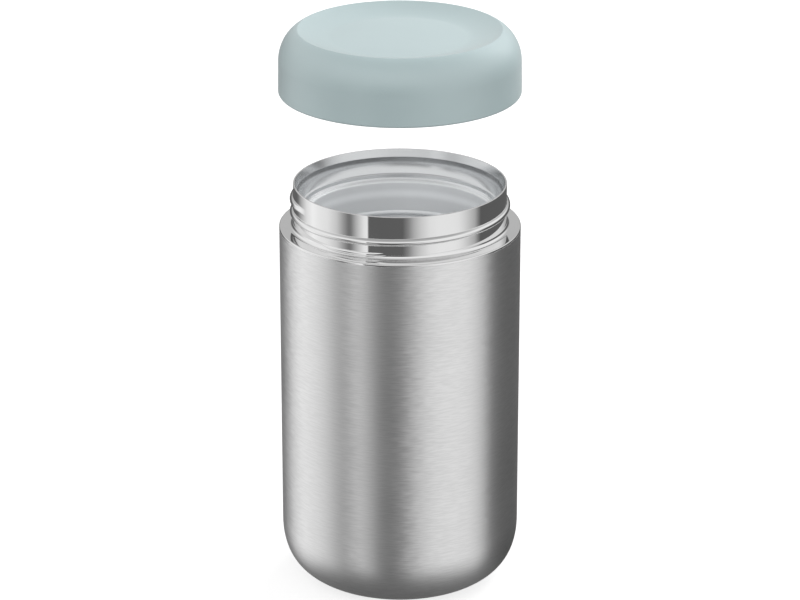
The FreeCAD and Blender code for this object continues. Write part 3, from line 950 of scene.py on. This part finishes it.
def panel_light(nodes, angle, panels):
    """The light of the panels at an angle round the jar, in radians from the front."""
    band = nodes.add("ShaderNodeValToRGB")
    nodes.join(nodes.ramp(angle, -math.pi, math.pi, kind="LINEAR"), band.inputs[0])
    elements = band.color_ramp.elements
    for index, (degrees, light) in enumerate(panels):
        place = degrees / 360 + 0.5
        if index == 0:
            element = elements[0]
        elif index == len(panels) - 1:
            element = elements[-1]
        else:
            element = elements.new(place)
        element.position = place
        element.color = grey(light)
    return band.outputs[0]


def studio_world():
    """Light and dark upright panels, a pale ceiling and a dark ground, and white to the camera alone."""
    world = bpy.data.worlds.new("studio")
    bpy.context.scene.world = world
    world.use_nodes = True
    nodes = Nodes(world.node_tree)
    way = nodes.add("ShaderNodeSeparateXYZ")
    nodes.join(nodes.add("ShaderNodeTexCoord").outputs["Generated"], way.inputs[0])
    x, y, z = way.outputs
    angle = nodes.sum("ARCTAN2", x, nodes.sum("MULTIPLY", y, -1.0))
    height = nodes.sum("ARCSINE", z)

    def change(stretch):
        """From 0 to 1 between two angles above the horizon."""
        return nodes.ramp(height, math.radians(stretch[0]), math.radians(stretch[1]))

    walls = nodes.tint(change(panel_change), panel_light(nodes, angle, neck_panels),
                       panel_light(nodes, angle, body_panels))
    front_to_back = nodes.tint(nodes.ramp(y, *ceiling_back_change), grey(ceiling_front), grey(ceiling_back))
    sides = nodes.ramp(nodes.sum("ABSOLUTE", x), *ceiling_side_change)
    ceiling = nodes.tint(sides, front_to_back, grey(ceiling_side))
    top = nodes.tint(change(zenith_rise), ceiling, grey(zenith_light))
    over = nodes.tint(change(ceiling_rise), walls, top)
    light = nodes.tint(change(ground_fall), over, grey(ground_light))
    seen = nodes.add("ShaderNodeLightPath").outputs["Is Camera Ray"]
    background = world.node_tree.nodes["Background"]
    nodes.join(nodes.tint(seen, light, grey(1.0)), background.inputs["Color"])
    background.inputs["Strength"].default_value = 1.0


def pale_floor():
    """A pale round floor that keeps the jar's soft shadow."""
    mesh = bpy.data.meshes.new("floor")
    work = bmesh.new()
    bmesh.ops.create_circle(work, cap_ends=True, radius=floor_radius, segments=64)
    work.to_mesh(mesh)
    work.free()
    floor = bpy.data.objects.new("floor", mesh)
    bpy.context.scene.collection.objects.link(floor)
    floor.location.z = -floor_drop
    finish, nodes, shader, place = finish_named("pale_floor")
    speck = nodes.noise(place, floor_speck)
    nodes.join(nodes.tint(speck, grey(0.37), grey(0.39)), shader.inputs["Base Color"])
    shader.inputs["Roughness"].default_value = 0.9
    glow = nodes.add("ShaderNodeEmission")
    seen = nodes.add("ShaderNodeLightPath").outputs["Is Camera Ray"]
    nodes.join(nodes.sum("MULTIPLY", seen, floor_glow), glow.inputs["Strength"])
    both = nodes.add("ShaderNodeAddShader")
    nodes.join(shader.outputs[0], both.inputs[0])
    nodes.join(glow.outputs[0], both.inputs[1])
    output = next(n for n in finish.node_tree.nodes if n.type == "OUTPUT_MATERIAL")
    nodes.join(both.outputs[0], output.inputs["Surface"])
    mesh.materials.append(finish)
    floor.visible_glossy = False


def softbox(name, place, side, power):
    """A square lamp turned to face the jar, left out of the steel's reflections."""
    lamp = bpy.data.lights.new(name, "AREA")
    lamp.shape = "SQUARE"
    lamp.size = side
    lamp.energy = power
    holder = bpy.data.objects.new(name, lamp)
    bpy.context.scene.collection.objects.link(holder)
    holder.location = place
    holder.rotation_euler = (Vector(lamp_aim) - Vector(place)).to_track_quat("-Z", "Y").to_euler()
    holder.visible_glossy = False


def camera():
    """The photograph's view: a long lens looking a little down on the jar."""
    pitch = math.radians(20.908)
    distance = 1.3144
    target = Vector((0, 0, 0.11324))
    lens = bpy.data.cameras.new("camera")
    lens.sensor_width = 36.0
    lens.lens = 152.32
    lens.clip_end = 20.0
    holder = bpy.data.objects.new("camera", lens)
    bpy.context.scene.collection.objects.link(holder)
    holder.location = target + Vector((0, -distance * math.cos(pitch), distance * math.sin(pitch)))
    holder.rotation_euler = (math.pi / 2 - pitch, 0, 0)
    bpy.context.scene.camera = holder


studio_world()
pale_floor()
softbox("key_softbox", place=(0.72, 0.98, 0.82), side=1.0, power=17.0)
softbox("fill_softbox", place=(-0.20, -1.35, 1.15), side=0.9, power=3.6)
camera()
bpy.context.scene.view_settings.view_transform = "Standard"
